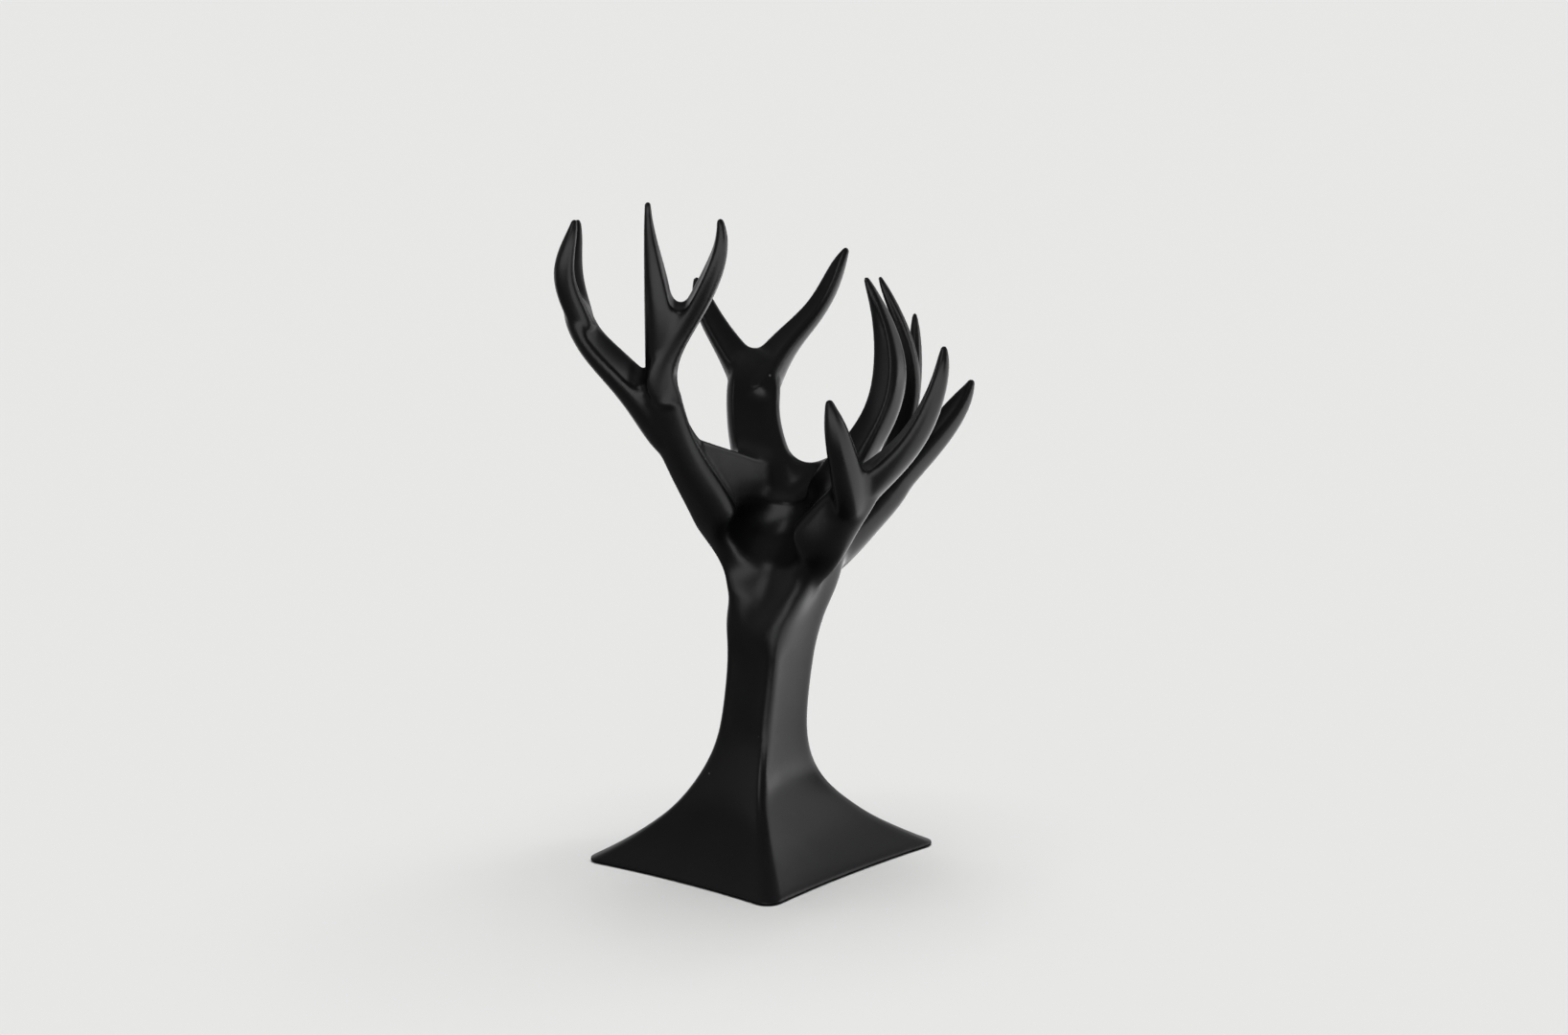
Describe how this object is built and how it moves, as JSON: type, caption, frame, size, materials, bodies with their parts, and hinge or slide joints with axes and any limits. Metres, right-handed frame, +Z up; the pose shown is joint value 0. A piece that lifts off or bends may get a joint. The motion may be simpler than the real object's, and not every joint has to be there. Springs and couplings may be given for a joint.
{
  "type": "jewelry stand",
  "caption": "Free-standing jewelry tree: a ridged trunk on a flared square foot, with branching arms whose pointed tines hold necklaces, bracelets and rings.",
  "frame": {"origin": "centre of the foot on the table", "axes": "+Z up, +X to the tree's right with the front corner of the foot towards the viewer, -Y to the front"},
  "size_m": [0.1359, 0.1134, 0.2254],
  "materials": {
    "black_plastic": "satin black moulded plastic",
    "plate_plastic": "matt black moulded plastic",
    "steel": "mill finish",
    "screw_steel": "zinc plated",
    "felt": "black felt"
  },
  "bodies": {
    "root": {"trunk": "black_plastic", "arm_left": "black_plastic", "arm_back": "black_plastic", "arm_front": "black_plastic", "arm_right": "black_plastic", "base_plate": "plate_plastic", "base_ballast": "steel", "base_screws": "screw_steel", "base_pad": "felt"}
  },
  "joints": []
}
